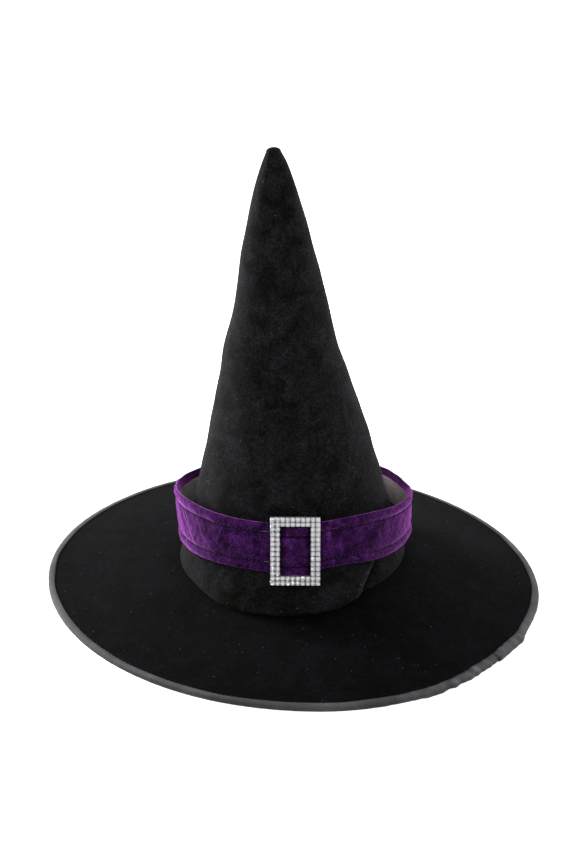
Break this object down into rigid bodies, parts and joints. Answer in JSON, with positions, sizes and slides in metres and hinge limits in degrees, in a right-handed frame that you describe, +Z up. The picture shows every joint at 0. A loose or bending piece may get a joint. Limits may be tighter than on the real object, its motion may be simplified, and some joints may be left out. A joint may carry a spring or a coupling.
{
  "type": "witch hat",
  "caption": "Leaning velvet cone on a round wired brim, with a loose sewn band threaded through a rectangular stone-set slider buckle.",
  "frame": {"origin": "under the middle of the round brim, on the plane the rim rests on", "axes": "+Z up, -Y towards the side the buckle faces, the crown leans towards -X"},
  "size_m": [0.41, 0.41, 0.3704],
  "materials": {
    "crown_velvet": "crushed velvet, charcoal black",
    "brim_velvet": "short-pile velvet, blue black",
    "interlining": "stiff non-woven, dark grey",
    "seam_tape": "woven tape",
    "binding_tape": "fine ribbed tape, grey",
    "sweatband_ribbon": "ribbed ribbon, black",
    "dark_thread": "spun thread",
    "band_velvet": "crushed velvet, purple",
    "band_backing": "plain woven, taupe",
    "band_thread": "spun thread, dark purple",
    "wire_steel": "drawn spring wire",
    "sleeve_aluminium": "crimped tube",
    "buckle_metal": "bright plated",
    "stone_glass": "clear cut glass, foil backed"
  },
  "bodies": {
    "hat": {"crown_shell": "crown_velvet", "crown_interlining": "interlining", "crown_seam_tape": "seam_tape", "crown_base_stitches": "dark_thread", "brim_top": "brim_velvet", "brim_core": "interlining", "brim_underside": "brim_velvet", "brim_wire": "wire_steel", "brim_wire_sleeve": "sleeve_aluminium", "brim_binding": "binding_tape", "binding_lap": "binding_tape", "binding_stitches": "dark_thread", "sweatband": "sweatband_ribbon", "sweatband_stitches": "dark_thread"},
    "band": {"band_velvet": "band_velvet", "band_backing": "band_backing", "band_stitch_top": "band_thread", "band_stitch_bottom": "band_thread", "band_joint_stitches": "band_thread"},
    "buckle": {"buckle_frame": "buckle_metal", "buckle_bar": "buckle_metal", "stone_cups_outer": "buckle_metal", "stone_cups_inner": "buckle_metal", "stones_outer": "stone_glass", "stones_inner": "stone_glass"}
  },
  "joints": [
    {"name": "band_lift_off", "type": "slide", "parent": "hat", "child": "band", "axis": [-0.0854, 0, 0.9963], "range_m": [0, 0.36]},
    {"name": "buckle_slide", "type": "hinge", "parent": "band", "child": "buckle", "pos_m": [-0.0034, 0.01605, 0.06404], "axis": [-0.0454, 0.0992, 0.994], "range_deg": [-8, 8]}
  ]
}
